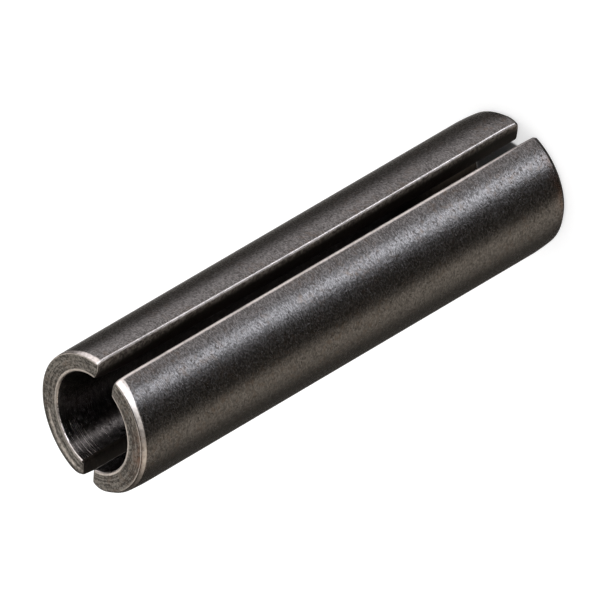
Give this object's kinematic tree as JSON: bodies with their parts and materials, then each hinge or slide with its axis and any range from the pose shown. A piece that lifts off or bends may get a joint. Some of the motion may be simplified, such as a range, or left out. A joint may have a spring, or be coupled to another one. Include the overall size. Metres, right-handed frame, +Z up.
{
  "type": "spring pin",
  "caption": "Slotted tubular spring pin in dark spring steel, rolled from strip, with swaged lead-in ends, a full-length slot and a short slit at one end.",
  "frame": {"origin": "on the pin's axis at the middle of its length", "axes": "+Z up along the axis, from the plain end to the slit end; -Y out through the middle of the long slot"},
  "size_m": [0.0126, 0.0125, 0.05],
  "materials": {
    "spring_steel": "satin black oxide over rolled spring steel, worn bright along the lips and end edges"
  },
  "bodies": {
    "root": {"spring_pin": "spring_steel"}
  },
  "joints": []
}
